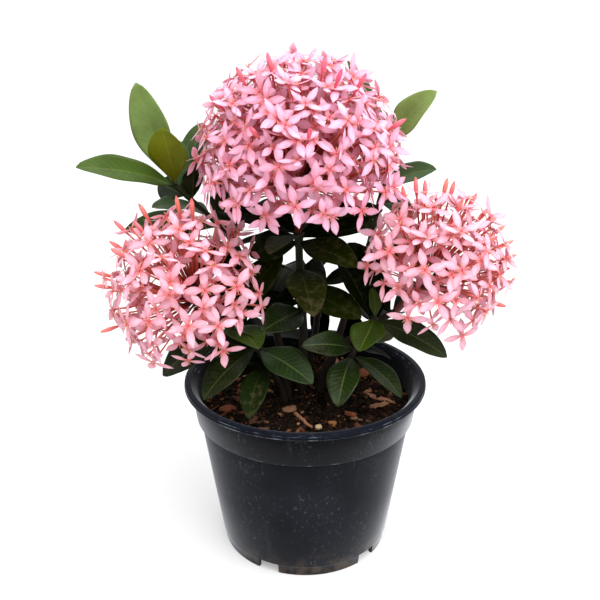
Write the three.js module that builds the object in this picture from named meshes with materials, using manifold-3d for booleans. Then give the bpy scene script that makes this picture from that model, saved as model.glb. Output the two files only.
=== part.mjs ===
// Ixora in a nursery pot: pot, soil, leafy stems and three flower heads.
// Millimetres, +Z up. The origin is on the ground, on the axis of the pot. -Y is the front.

import * as THREE from 'three';
import { mergeVertices } from 'three/addons/utils/BufferGeometryUtils.js';
import Module from 'manifold-3d';

const wasm = await Module();
wasm.setup();

// ---------------------------------------------------------------------------
// Driving dimensions
// ---------------------------------------------------------------------------

const RIM_RADIUS = 75;
const POT_HEIGHT = 111;
const BASE_RADIUS = 52.6;
const WALL = 1.6;
const LIP_HEIGHT = 3.6;
const LIP_OVERHANG = 4;
const LIP_WIDTH = 4.1;
const LIP_ROUND = 1;
const BAND_DROP = 24;
const BAND_STEP = 2.1;
const BAND_ROUND = 0.4;
const FOOT_HEIGHT = 6.5;
const FOOT_STEP = 0.7;
const FOOT_WALL = 2.6;
const NOTCH_WIDTH = 13.5;
const NOTCH_COUNT = 5;
const NOTCH_START = -25.4;
const DRAIN_RADIUS = 5;
const DRAIN_CIRCLE = 34;
const DRAIN_SIDES = 8;
const POT_SIDES = 36;

const SOIL_DROP = 16;
const SOIL_MOUND = 3;
const SOIL_LUMP = 0.9;
const LUMP_SPANS = [5.1, 6.3];
const SOIL_RIPPLE = 0.6;
const RIPPLE_SPANS = [9, 4.2];
const SOIL_RINGS = [1, 0.8, 0.55, 0.28, 0];
const CHIP_COUNT = 11;
const CHIP_LENGTH = [6, 16];
const CHIP_WIDTH = [2.5, 5.5];
const CHIP_THICKNESS = 2.6;
const CHIP_RADIUS = [26, 60];
const CHIP_TILT = 0.5;
const CHIP_LIFT = 0.52;
const STEM_DEPTH = 26;
const SEAT_GAP = 0.3;
const SOIL_SIDES = 24;

const PETAL_REACH = 12.3;
const PETAL_WIDTH = 6.8;
const PETAL_WAIST = 6.5;
const PETALS = 4;
const NOTCH_REACH = 1.6;
const FLORET_RISE = 1.7;
const TUBE_ROOT = 0.8;
const LAYER_STEP = 2.2;
const SEAT_SCATTER = 1.5;
const TURN_SCATTER = 0.12;
const FLORET_SIZES = [0.94, 1.06];
const BUD_LENGTH = 11;
const BUD_RADIUS = 1.6;
const BUD_POINT = 0.3;
const BUD_NECK = 0.75;
const BUD_SWELL = 0.45;
const BUD_SIDES = 4;
const CORE_SIDES = 10;
const CORE_LEVELS = 7;
const SINK = 3;

const LEAF_RIB = 1.1;
const LEAF_FOLD = 0.1;
const LEAF_ARCH = 0.3;
const LEAF_FULLNESS = 1.1;
const LEAF_PARTS = [0.1, 0.33, 0.6, 0.85];
const STEM_SIDES = 6;
const STEM_STEPS = 7;

const MERGE_DISTANCE = 1e-4;
const HALVINGS = 24;

const GOLDEN_ANGLE = Math.PI * (3 - Math.sqrt(5));
const SOIL_LEVEL = POT_HEIGHT - SOIL_DROP;
const ROUTE_START = SOIL_LEVEL + 2 * SOIL_MOUND;

// ---------------------------------------------------------------------------
// Solids and joins
// ---------------------------------------------------------------------------

const vec = (list) => new THREE.Vector3(...list);
const [X_AXIS, Y_AXIS, Z_AXIS] = [vec([1, 0, 0]), vec([0, 1, 0]), vec([0, 0, 1])];
const radians = THREE.MathUtils.degToRad;

// A repeatable draw between 0 and 1 for item number `index`; `salt` tells the draws of one item apart.
function draw(index, salt) {
  const wave = Math.sin(index * 12.9898 + salt * 78.233) * 43758.5453;
  return wave - Math.floor(wave);
}

function closedGeometry(points, index) {
  const geometry = new THREE.BufferGeometry();
  const positions = points.flatMap((p) => [p.x, p.y, p.z]);
  geometry.setAttribute('position', new THREE.Float32BufferAttribute(positions, 3));
  geometry.setIndex(index);
  return geometry;
}

function toSolid(geometry) {
  const bare = geometry.clone();
  bare.deleteAttribute('normal');
  bare.deleteAttribute('uv');
  const merged = mergeVertices(bare, MERGE_DISTANCE);
  const mesh = new wasm.Mesh({
    numProp: 3,
    vertProperties: new Float32Array(merged.attributes.position.array),
    triVerts: new Uint32Array(merged.index.array),
  });
  return new wasm.Manifold(mesh);
}

function toGeometry(solid) {
  const mesh = solid.getMesh();
  const geometry = new THREE.BufferGeometry();
  geometry.setAttribute('position', new THREE.BufferAttribute(mesh.vertProperties, 3));
  geometry.setIndex(new THREE.BufferAttribute(mesh.triVerts, 1));
  geometry.computeVertexNormals();
  return geometry;
}

function joinAll(geometries) {
  return geometries.map(toSolid).reduce((joined, next) => joined.add(next));
}

// A closed solid through rings that all have the same number of points, with flat ends.
function loft(rings) {
  const sides = rings[0].length;
  const index = [];
  for (let k = 0; k + 1 < rings.length; k += 1) {
    for (let s = 0; s < sides; s += 1) {
      const a = k * sides + s;
      const b = k * sides + ((s + 1) % sides);
      index.push(a, b, b + sides, a, b + sides, a + sides);
    }
  }
  const last = (rings.length - 1) * sides;
  for (let s = 1; s + 1 < sides; s += 1) {
    index.push(0, s + 1, s, last, last + s, last + s + 1);
  }
  return closedGeometry(rings.flat(), index);
}

const helperFor = (aim) => (Math.abs(aim.z) < 0.9 ? Z_AXIS : X_AXIS);

// Two directions square to `aim`, turned about it by `spin`. `helper` fixes where the first one points.
function crossAxes(aim, spin = 0, helper = helperFor(aim)) {
  const side = new THREE.Vector3().crossVectors(helper, aim).normalize();
  const front = new THREE.Vector3().crossVectors(aim, side);
  const u = side.clone().multiplyScalar(Math.cos(spin)).addScaledVector(front, Math.sin(spin));
  const v = new THREE.Vector3().crossVectors(aim, u);
  return [u, v];
}

function ring(centre, aim, radius, sides, helper) {
  const [u, v] = crossAxes(aim, 0, helper);
  return Array.from({ length: sides }, (_, s) => {
    const angle = (2 * Math.PI * s) / sides;
    return centre.clone()
      .addScaledVector(u, radius * Math.cos(angle))
      .addScaledVector(v, radius * Math.sin(angle));
  });
}

// A rod with straight pieces between the points. One helper for all of its rings keeps them from twisting.
function rod(points, radii, sides) {
  const whole = new THREE.Vector3().subVectors(points[points.length - 1], points[0]).normalize();
  const helper = Math.abs(whole.y) < 0.7 ? Y_AXIS : X_AXIS;
  const aims = points.map((point, k) => {
    const before = points[Math.max(k - 1, 0)];
    const after = points[Math.min(k + 1, points.length - 1)];
    return new THREE.Vector3().subVectors(after, before).normalize();
  });
  return loft(points.map((point, k) => ring(point, aims[k], radii[k], sides, helper)));
}

// ---------------------------------------------------------------------------
// Pot: one moulded cup with a turned lip, a raised band and a notched foot ring
// ---------------------------------------------------------------------------

const wallTopRadius = RIM_RADIUS - LIP_OVERHANG;
const lipBase = POT_HEIGHT - LIP_HEIGHT;
const bandBase = POT_HEIGHT - BAND_DROP;
const wallFootRadius = BASE_RADIUS + 2 * FOOT_STEP;
const wallSlope = (wallTopRadius - BAND_STEP - wallFootRadius) / (lipBase - FOOT_HEIGHT);
const outerRadius = (z) => wallFootRadius + wallSlope * (z - FOOT_HEIGHT);
const innerRadius = (z) => outerRadius(z) - WALL;
const floorTop = FOOT_HEIGHT + WALL;

function potGeometry() {
  const profile = [
    [0, FOOT_HEIGHT],
    [BASE_RADIUS - FOOT_WALL, FOOT_HEIGHT],
    [BASE_RADIUS - FOOT_WALL, 0],
    [BASE_RADIUS, 0],
    [BASE_RADIUS + FOOT_STEP, FOOT_HEIGHT],
    [wallFootRadius, FOOT_HEIGHT + FOOT_STEP],
    [outerRadius(bandBase), bandBase],
    [outerRadius(bandBase) + BAND_STEP, bandBase + BAND_ROUND],
    [wallTopRadius, lipBase],
    [RIM_RADIUS - LIP_ROUND / 2, lipBase],
    [RIM_RADIUS, lipBase + LIP_ROUND],
    [RIM_RADIUS, POT_HEIGHT - LIP_ROUND],
    [RIM_RADIUS - LIP_ROUND, POT_HEIGHT],
    [RIM_RADIUS - LIP_WIDTH, POT_HEIGHT],
    [innerRadius(lipBase), lipBase],
    [innerRadius(floorTop), floorTop],
    [0, floorTop],
  ].map(([r, z]) => new THREE.Vector2(r, z));
  const cup = new THREE.LatheGeometry(profile, POT_SIDES);
  cup.rotateX(Math.PI / 2);
  return cup;
}

function notchCutter(turn) {
  const cutter = new THREE.BoxGeometry(NOTCH_WIDTH, 4 * FOOT_WALL, 2 * FOOT_HEIGHT);
  cutter.translate(0, -BASE_RADIUS, 0);
  cutter.rotateZ(turn);
  return cutter;
}

function drainCutter(turn) {
  const cutter = new THREE.CylinderGeometry(DRAIN_RADIUS, DRAIN_RADIUS, 4 * WALL, DRAIN_SIDES);
  cutter.rotateX(Math.PI / 2);
  cutter.translate(0, -DRAIN_CIRCLE, FOOT_HEIGHT + WALL / 2);
  cutter.rotateZ(turn);
  return cutter;
}

function makePot() {
  let pot = toSolid(potGeometry());
  for (let k = 0; k < NOTCH_COUNT; k += 1) {
    const turn = radians(NOTCH_START + (360 * k) / NOTCH_COUNT);
    pot = pot.subtract(toSolid(notchCutter(turn)));
    pot = pot.subtract(toSolid(drainCutter(turn)));
  }
  return pot;
}

// ---------------------------------------------------------------------------
// Leafy stems. A stem's route starts at the soil; each leaf is listed as
// [height of its base on the stem, tip x, tip y, tip z, width, turn about its own length in degrees].
// A seventh value is the leaf's own arch. An eighth moves its widest part towards the tip.
// ---------------------------------------------------------------------------

const STEMS = [
  {
    name: 'stem_centre',
    route: [[-2, 4, ROUTE_START], [-1, 4, 135], [-3, 4, 170], [-4, 3, 203]],
    radii: [3, 2.2],
    leaves: [
      [201, -19.5, -42, 204, 20, 10, 0.2],
      [197, 28.5, -28, 192.5, 22, 20, 0.2],
      [196, -33, 0, 189.5, 19, -45],
      [201, -42, 14, 191.5, 15, -10, 0.15],
      [201, -52, 12, 214, 20, -25],
      [201, -31, 46, 210, 20, -30],
      [201, 46, 12, 214, 20, 45],
      [199, 42.5, 20, 204.5, 18, 45],
      [200, 14, 50, 208, 20, 0],
      [180, 4.5, -45, 169.5, 23, 0],
      [176, -14, 44, 168, 18, 0],
      [168, 32, -26, 160, 20, 30, 0.1],
      [180, 14, 24, 167, 19, 60],
      [153, -25, -30.5, 154, 21, -30],
      [158, -40, -2, 155, 18, -40],
    ],
  },
  {
    name: 'stem_left',
    route: [[-11, -3, ROUTE_START], [-18, -5, 120], [-33, -8, 137], [-47, -11, 149]],
    radii: [2.9, 2.1],
    leaves: [
      [148, -14, 4, 189, 24, 25, 0.1],
      [147, -86, -18, 119.5, 22, -35, 0.35],
      [147, -26.5, -45, 150, 23, 0],
      [147, -24, -37, 150.5, 11, 0],
      [140, -60, 34, 148, 20, 0],
      [130, -66, 26, 122, 18, -50],
      [122, -62, -6, 114, 17, -30],
      [143, -24, 22, 133, 16, 50],
    ],
  },
  {
    name: 'stem_right',
    route: [[9, 1, ROUTE_START], [16, 0, 122], [34, -5, 143], [54, -10, 158]],
    radii: [2.9, 2.1],
    leaves: [
      [156, 25.5, 10, 194, 27, -60],
      [156, 88, 32, 158, 18, 0],
      [150, 41, 24, 180, 20, 0],
      [146, 64, 38, 138, 18, 0],
      [130, 54, 6, 119, 16, 0],
    ],
  },
  {
    name: 'shoot_back_left',
    route: [[-12, 9, ROUTE_START], [-20, 15, 140], [-46, 24, 192], [-78.5, 16, 229]],
    radii: [2.8, 1.2],
    leaves: [
      [228, -95.5, 10, 287.5, 21.5, -110, 0.02, 1.25],
      [228, -124, -25, 247, 23.5, -32, 0.2, 1],
      [227, -78.5, -12, 266, 21.5, 180, 0.3, 1.9],
      [226, -75, 26, 252.5, 15, 0],
      [226, -69.5, 34, 252.5, 17, 0],
      [222, -64, 52, 259.5, 18, 0],
      [221, -89, 30, 227, 17, -50, 0.1],
      [215, -89.5, 4, 218.5, 15, -20, -0.05],
      [218, -65.5, 12, 240, 13, 0],
      [200, -113, 34, 196, 18, -50],
      [190, -48.5, 52, 228.5, 25, 0],
      [206, -86, 52, 206, 17, 0],
      [186, -73, 34, 174, 20, -50],
      [170, -66, 46, 176, 20, -50],
      [166, -63, 24, 153, 20, -50],
      [150, -12, 58, 164, 20, 0],
    ],
  },
  {
    name: 'shoot_back_right',
    route: [[13, 9, ROUTE_START], [24, 16, 140], [42, 28, 196], [52, 33, 252]],
    radii: [2.8, 1.2],
    leaves: [
      [250, 75, 22, 282, 20.5, 60, 0.2, 0.95],
      [248, 27, 57, 296.5, 18, 10, 0],
      [224, 75.5, 8, 239.5, 17, 45, 0.3, 1],
      [226, 44, 64, 236, 18, 0],
      [214, 68, 34, 207, 18, 40],
      [196, 18, 56, 206, 18, -20],
      [180, 76, 46, 178, 18, 40],
      [150, 44, 42, 134.5, 18, 50],
      [152, 39, 42, 110, 20, 180, 0.05],
    ],
  },
  {
    name: 'shoot_front_left',
    route: [[-13, -12, ROUTE_START], [-17, -14, 114], [-24, -16, 128], [-30, -17, 139]],
    radii: [2.3, 1.5],
    leaves: [
      [137, -59, -42, 116, 22, -10],
      [136, 4, -45, 128, 22, 20],
      [126, -32, -55, 110.5, 17, 0],
      [126, -57, -18, 124, 16, 0],
    ],
  },
  {
    name: 'shoot_front_right',
    route: [[15, -11, ROUTE_START], [20, -17, 114], [28, -21, 135], [41, -22, 159]],
    radii: [2.4, 1.4],
    leaves: [
      [158, 30, -46, 148, 20, 0],
      [157, 80.5, -40, 142.5, 19, 25, 0.34],
      [158, 38, -17, 175, 8, 0],
      [156, 20, 2, 188, 18, 0],
      [145, 53, -14, 145, 12, 30, 0.1],
      [138, -2, -36, 147, 15, -50],
      [134, 18, -55, 118.5, 19, 0],
      [134, 55, -42, 117, 18, 0],
    ],
  },
  {
    name: 'shoot_back',
    route: [[0, 19, ROUTE_START], [6, 24, 125], [9, 32, 150], [9, 36, 168]],
    radii: [2.6, 1.5],
    leaves: [
      [167, 15, 66, 184, 18, 0],
      [160, -20, 62, 158, 18, -30],
      [146, 32, 56, 134, 18, 30],
      [152, -32, 60, 150, 20, -40],
      [140, 8, 71, 132, 18, 0],
      [122, -36, 56, 112, 18, 0],
      [118, 24, 62, 108, 18, 0],
      [158, 44, 36, 168, 17, 20, 0.1],
      [158, 10, 46, 111, 13, 180, 0.05],
    ],
  },
];

// Half of a leaf's width at a part of its length, as a share of its full width.
function halfWidth(part, fullness) {
  const swell = Math.sin(Math.PI * part ** fullness);
  return 0.5 * swell ** (1.15 - 0.55 * part);
}

function stemCurve(stem) {
  return new THREE.CatmullRomCurve3(stem.route.map(vec));
}

// The point where a stem reaches a given height.
function stemPointAt(curve, height) {
  let low = 0;
  let high = 1;
  for (let k = 0; k < HALVINGS; k += 1) {
    const middle = (low + high) / 2;
    if (curve.getPoint(middle).z < height) low = middle;
    else high = middle;
  }
  return curve.getPoint(low);
}

// A leaf is a thin blade with a raised midrib, folded a little along it and arched towards its tip.
function leafGeometry(base, tip, width, turn, rise = LEAF_ARCH, fullness = LEAF_FULLNESS) {
  const along = new THREE.Vector3().subVectors(tip, base);
  const length = along.length();
  along.normalize();
  const face = Z_AXIS.clone().addScaledVector(along, -along.z).normalize();
  face.applyAxisAngle(along, radians(turn));
  const side = new THREE.Vector3().crossVectors(face, along);
  const points = [base.clone()];
  for (const part of LEAF_PARTS) {
    const half = halfWidth(part, fullness);
    const arch = rise * length * part * (1 - part);
    const rib = base.clone().addScaledVector(along, length * part).addScaledVector(face, arch);
    const edge = rib.clone().addScaledVector(face, 2 * LEAF_FOLD * half * width);
    points.push(rib.clone().addScaledVector(face, LEAF_RIB / 2));
    points.push(rib.clone().addScaledVector(face, -LEAF_RIB / 2));
    points.push(edge.clone().addScaledVector(side, -half * width));
    points.push(edge.clone().addScaledVector(side, half * width));
  }
  points.push(tip.clone());
  const end = points.length - 1;
  const index = [0, 3, 1, 0, 1, 4, 0, 2, 3, 0, 4, 2];
  for (let k = 1; k + 4 < end; k += 4) {
    const [top, under, right, left] = [k, k + 1, k + 2, k + 3];
    index.push(top, right, top + 4, right, right + 4, top + 4);
    index.push(top, top + 4, left, left, top + 4, left + 4);
    index.push(under, under + 4, right, right, under + 4, right + 4);
    index.push(under, left, under + 4, left, left + 4, under + 4);
  }
  const [top, under, right, left] = [end - 4, end - 3, end - 2, end - 1];
  index.push(top, right, end, top, end, left, under, end, right, under, left, end);
  return closedGeometry(points, index);
}

function makeStem(stem) {
  const curve = stemCurve(stem);
  const [thick, thin] = stem.radii;
  const foot = vec(stem.route[0]);
  const points = [foot.clone().setZ(SOIL_LEVEL - STEM_DEPTH)];
  const radii = [thick];
  for (let k = 0; k <= STEM_STEPS; k += 1) {
    points.push(curve.getPoint(k / STEM_STEPS));
    radii.push(thick + ((thin - thick) * k) / STEM_STEPS);
  }
  const pieces = [rod(points, radii, STEM_SIDES)];
  for (const [height, x, y, z, ...form] of stem.leaves) {
    pieces.push(leafGeometry(stemPointAt(curve, height), vec([x, y, z]), ...form));
  }
  return joinAll(pieces);
}

// ---------------------------------------------------------------------------
// Soil: a root ball with a rough top, bark chips, and a plain hole for each stem
// ---------------------------------------------------------------------------

function soilHeight(x, y) {
  const radius = Math.hypot(x, y);
  const mound = SOIL_MOUND * (1 - (radius / wallTopRadius) ** 2);
  const lump = SOIL_LUMP * Math.sin(x / LUMP_SPANS[0] + 1) * Math.cos(y / LUMP_SPANS[1]);
  const ripple = SOIL_RIPPLE * Math.sin(x / RIPPLE_SPANS[0] - y / RIPPLE_SPANS[1]);
  return SOIL_LEVEL + mound + lump + ripple;
}

function soilBody() {
  const bottom = floorTop + SEAT_GAP;
  const edgeRadius = innerRadius(SOIL_LEVEL) - SEAT_GAP;
  const bottomRadius = innerRadius(bottom) - SEAT_GAP;
  const profile = [[0, bottom], [bottomRadius, bottom]];
  for (const part of SOIL_RINGS) profile.push([part * edgeRadius, SOIL_LEVEL]);
  const body = new THREE.LatheGeometry(profile.map(([r, z]) => new THREE.Vector2(r, z)), SOIL_SIDES);
  body.rotateX(Math.PI / 2);
  const position = body.attributes.position;
  for (let k = 0; k < position.count; k += 1) {
    const [x, y, z] = [position.getX(k), position.getY(k), position.getZ(k)];
    const inside = Math.hypot(x, y) < 0.95 * edgeRadius;
    if (z > SOIL_LEVEL - 1 && inside) position.setZ(k, soilHeight(x, y));
  }
  return body;
}

// A bark chip: a small block that lies half sunk in the soil, a little tilted.
function chipGeometry(k) {
  const length = THREE.MathUtils.lerp(...CHIP_LENGTH, draw(k, 1));
  const width = THREE.MathUtils.lerp(...CHIP_WIDTH, draw(k, 2));
  const radius = THREE.MathUtils.lerp(...CHIP_RADIUS, Math.sqrt(draw(k, 3)));
  const reach = Math.min(radius, CHIP_RADIUS[1] - length / 2);
  const bearing = k * GOLDEN_ANGLE;
  const [x, y] = [reach * Math.cos(bearing), reach * Math.sin(bearing)];
  const chip = new THREE.BoxGeometry(length, width, CHIP_THICKNESS);
  chip.rotateX(CHIP_TILT * (draw(k, 4) - 0.5));
  chip.rotateZ(2 * Math.PI * draw(k, 5));
  chip.translate(x, y, soilHeight(x, y) + CHIP_LIFT);
  return chip;
}

function stemHole(stem) {
  const [x, y] = stem.route[0];
  const radius = stem.radii[0] + SEAT_GAP;
  const low = new THREE.Vector3(x, y, SOIL_LEVEL - STEM_DEPTH - SEAT_GAP);
  const high = new THREE.Vector3(x, y, SOIL_LEVEL + 3 * SOIL_MOUND);
  return rod([low, high], [radius, radius], STEM_SIDES);
}

function makeSoil() {
  const pieces = [soilBody()];
  for (let k = 0; k < CHIP_COUNT; k += 1) pieces.push(chipGeometry(k));
  let soil = joinAll(pieces);
  for (const stem of STEMS) soil = soil.subtract(toSolid(stemHole(stem)));
  return soil;
}

// ---------------------------------------------------------------------------
// Flower heads. Florets sit evenly over a dome about `centre`, out to `spread`
// degrees from `axis`. Their tubes run to `hub`. Buds are listed by their tips.
// ---------------------------------------------------------------------------

const HEADS = [
  {
    name: 'flower_head_top',
    stem: 'stem_centre',
    seed: 28,
    centre: [-4, 0, 246],
    dome: 56,
    axis: [0, -0.25, 1],
    spread: 103,
    florets: 75,
    hub: [-4, 2, 230],
    core: 19,
    buds: [
      [10, -31, 306], [18, -37, 300], [31, -29, 297], [53, -24, 273], [-36, -28, 300],
      [-50, -30, 286], [-20, -25, 307], [2, -61, 274], [-28, -56, 274],
    ],
  },
  {
    name: 'flower_head_left',
    stem: 'stem_left',
    seed: 216,
    centre: [-69, -20, 175],
    dome: 43,
    axis: [-0.35, -0.55, 0.75],
    spread: 112,
    florets: 42,
    hub: [-63, -14, 167],
    core: 15,
    buds: [
      [-95, -8, 223], [-110, -8, 213], [-72, -18, 230], [-62, -28, 231], [-114, -6, 200],
      [-121, -20, 186], [-122, -18, 177], [-119, -26, 151], [-95, -26, 218], [-104, -46, 208],
    ],
  },
  {
    name: 'flower_head_right',
    stem: 'stem_right',
    seed: 416,
    centre: [74.2, -20, 189.2],
    dome: 40,
    axis: [0.33, -0.4, 0.86],
    spread: 112,
    florets: 40,
    hub: [68.5, -14, 177],
    core: 15,
    buds: [
      [53, -20, 236], [60, -20, 241], [67, -10, 237], [78, -18, 240], [84, -8, 236], [97, -8, 229],
      [84, -34, 232], [106, 0, 218], [112, 0, 214], [117, 0, 208], [104, -36, 212], [123, 2, 198],
      [124, -4, 191], [115, -26, 167], [113, -34, 193],
    ],
  },
];

// A floret: four pointed petals in a star, ridged along each petal, on a tapered four-sided tube.
function floretGeometry(seat, root, spin, size) {
  const aim = new THREE.Vector3().subVectors(seat, root).normalize();
  const points = [seat.clone().addScaledVector(aim, FLORET_RISE)];
  const index = [];
  const firstLow = 1 + 4 * PETALS;
  for (let petal = 0; petal < PETALS; petal += 1) {
    const [u, v] = crossAxes(aim, spin + (petal * Math.PI) / 2);
    const turned = (x, y) => seat.clone().addScaledVector(u, x * size).addScaledVector(v, y * size);
    points.push(turned(NOTCH_REACH * Math.SQRT1_2, -NOTCH_REACH * Math.SQRT1_2));
    points.push(turned(PETAL_WAIST, -PETAL_WIDTH / 2));
    points.push(turned(PETAL_REACH, 0));
    points.push(turned(PETAL_WAIST, PETAL_WIDTH / 2));
    const first = 1 + 4 * petal;
    const [notch, right, tip, left] = [first, first + 1, first + 2, first + 3];
    const next = 1 + 4 * ((petal + 1) % PETALS);
    index.push(0, notch, right, 0, right, tip, 0, tip, left, 0, left, next);
    index.push(notch, next, right, right, next, left, right, left, tip);
    const low = firstLow + petal;
    const lowNext = firstLow + ((petal + 1) % PETALS);
    index.push(next, notch, low, next, low, lowNext);
  }
  for (let petal = 0; petal < PETALS; petal += 1) {
    const [corner] = crossAxes(aim, spin + ((petal - 0.5) * Math.PI) / 2);
    points.push(root.clone().addScaledVector(corner, TUBE_ROOT));
  }
  index.push(firstLow, firstLow + 2, firstLow + 1, firstLow, firstLow + 3, firstLow + 2);
  return closedGeometry(points, index);
}

function budGeometry(tip, root) {
  const aim = new THREE.Vector3().subVectors(tip, root).normalize();
  const back = (distance) => tip.clone().addScaledVector(aim, -distance);
  const points = [root, back(BUD_LENGTH), back(BUD_SWELL * BUD_LENGTH), tip];
  return rod(points, [BUD_NECK, BUD_NECK, BUD_RADIUS, BUD_POINT], BUD_SIDES);
}

// Where a floret sits: even turns by the golden angle, each moved a little off its place.
function floretSeat(head, k) {
  const axis = vec(head.axis).normalize();
  const [u, v] = crossAxes(axis);
  const lowest = Math.cos(radians(head.spread));
  const scatter = (salt) => draw(head.seed + k, salt) - 0.5;
  const rise = 1 - ((k + 0.5 + 0.5 * scatter(1)) / head.florets) * (1 - lowest);
  const bearing = head.seed + k * GOLDEN_ANGLE + TURN_SCATTER * scatter(2);
  const flat = Math.sqrt(1 - rise * rise);
  const radius = head.dome + LAYER_STEP * ((k % 3) - 1) + SEAT_SCATTER * scatter(3);
  return vec(head.centre)
    .addScaledVector(axis, radius * rise)
    .addScaledVector(u, radius * flat * Math.cos(bearing))
    .addScaledVector(v, radius * flat * Math.sin(bearing));
}

// A tube starts inside the core, `SINK` below its surface.
function tubeRoot(head, seat) {
  const hub = vec(head.hub);
  const aim = new THREE.Vector3().subVectors(seat, hub).normalize();
  return hub.addScaledVector(aim, head.core - SINK);
}

// The stalk between a stem's top and the middle of its head, a gap clear of the stem.
function stalkGeometry(head) {
  const stem = STEMS.find((each) => each.name === head.stem);
  const curve = stemCurve(stem);
  const top = curve.getPoint(1);
  const aim = top.clone().sub(curve.getPoint(1 - 1 / STEM_STEPS)).normalize();
  const foot = top.clone().addScaledVector(aim, SEAT_GAP);
  const radius = stem.radii[1];
  return loft([ring(foot, aim, radius, STEM_SIDES), ring(vec(head.hub), aim, radius + 1, STEM_SIDES)]);
}

function makeHead(head) {
  const core = new THREE.SphereGeometry(head.core, CORE_SIDES, CORE_LEVELS);
  core.rotateX(Math.PI / 2);
  core.translate(...head.hub);
  const pieces = [core, stalkGeometry(head)];
  for (let k = 0; k < head.florets; k += 1) {
    const seat = floretSeat(head, k);
    const spin = 2 * Math.PI * draw(head.seed + k, 4);
    const size = THREE.MathUtils.lerp(...FLORET_SIZES, draw(head.seed + k, 5));
    pieces.push(floretGeometry(seat, tubeRoot(head, seat), spin, size));
  }
  for (const tip of head.buds) pieces.push(budGeometry(vec(tip), tubeRoot(head, vec(tip))));
  return joinAll(pieces);
}

// ---------------------------------------------------------------------------
// Assembly
// ---------------------------------------------------------------------------

const plastic = new THREE.MeshStandardMaterial({ color: 0x2b2d31, roughness: 0.55, metalness: 0 });
const earth = new THREE.MeshStandardMaterial({ color: 0x2c1e16, roughness: 0.95, metalness: 0 });
const darkLeaf = new THREE.MeshStandardMaterial({ color: 0x2c4420, roughness: 0.45, metalness: 0 });
const youngLeaf = new THREE.MeshStandardMaterial({ color: 0x5c8a34, roughness: 0.4, metalness: 0 });
const petal = new THREE.MeshStandardMaterial({ color: 0xf7a9bb, roughness: 0.6, metalness: 0 });
const YOUNG = ['shoot_back_left', 'shoot_back_right'];

const group = new THREE.Group();

function place(name, solid, material) {
  const mesh = new THREE.Mesh(toGeometry(solid), material.clone());
  mesh.name = name;
  group.add(mesh);
}

place('pot', makePot(), plastic);
place('soil', makeSoil(), earth);
for (const stem of STEMS) place(stem.name, makeStem(stem), YOUNG.includes(stem.name) ? youngLeaf : darkLeaf);
for (const head of HEADS) place(head.name, makeHead(head), petal);

export default group;
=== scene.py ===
# Ixora in its nursery pot: the pot, its soil, the leafy stems and three flower heads. +Z is up, -Y the front.
# Sizes and places on the plant are in millimetres, turned to metres by MM. The room's are in metres.

import math
import random

import bpy
import numpy as np
from mathutils import Matrix, Quaternion, Vector, noise


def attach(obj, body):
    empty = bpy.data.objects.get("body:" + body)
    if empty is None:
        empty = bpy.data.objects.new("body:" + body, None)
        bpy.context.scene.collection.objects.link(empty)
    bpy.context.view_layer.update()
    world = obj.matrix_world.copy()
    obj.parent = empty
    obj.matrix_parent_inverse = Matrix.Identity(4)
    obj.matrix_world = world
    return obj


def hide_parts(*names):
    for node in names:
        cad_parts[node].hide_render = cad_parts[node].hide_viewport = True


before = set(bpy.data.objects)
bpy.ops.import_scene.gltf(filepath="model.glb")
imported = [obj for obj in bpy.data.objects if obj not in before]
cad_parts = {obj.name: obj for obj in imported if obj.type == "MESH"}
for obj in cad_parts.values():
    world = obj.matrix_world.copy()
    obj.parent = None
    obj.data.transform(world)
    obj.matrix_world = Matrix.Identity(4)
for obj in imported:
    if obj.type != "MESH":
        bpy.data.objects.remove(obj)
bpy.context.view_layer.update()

# --------------------
# The room: a wide white table under a bright ceiling, with dimmer walls and one broad soft panel
# above the front and the right. The camera stands a little above the plant and looks down on it.
CAMERA_PLACE = (-0.00315, -0.4702, 0.3413)
CAMERA_DIP = math.radians(20.97)
CAMERA_LENS = 50
CAMERA_NEAREST = 0.01
TABLE_SIZE = 40
TABLE_COLOUR = (0.5, 0.5, 0.505, 1)
TABLE_ROUGHNESS = 0.7
TABLE_GLOW = 0.1
TABLE_SEEN = 0.22
WHITE = (1, 1, 1, 1)
CEILING_LIGHT = 1.95
WALL_LIGHT = 0.4
# How steeply a ray rises, 0 to 1, where the walls' light ends and where the ceiling's is full.
WALL_END, CEILING_START = 0.1, 0.8
PANEL_PLACE = (0.5, -0.65, 1.25)
PANEL_AIM = (0, 0, 0.15)
PANEL_SIZE = 1.1
PANEL_POWER = 19


def add(make, **settings):
    """A new object from one of Blender's operators, with nothing else selected."""
    bpy.ops.object.select_all(action="DESELECT")
    make(**settings)
    return bpy.context.object


def linear(*levels):
    """A display colour, 0 to 255 a channel, as the linear colour that materials take."""
    parts = [level / 255 for level in levels]
    return [p / 12.92 if p <= 0.04045 else ((p + 0.055) / 1.055) ** 2.4 for p in parts] + [1.0]


def add_node(tree, kind, inputs, output=0, **settings):
    """A new node with its inputs filled or joined. Returns one of its outputs."""
    node = tree.nodes.new(kind)
    for key, value in settings.items():
        setattr(node, key, value)
    for socket, value in inputs.items():
        if isinstance(value, bpy.types.NodeSocket):
            tree.links.new(value, node.inputs[socket])
        else:
            node.inputs[socket].default_value = value
    return node.outputs[output]


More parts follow.
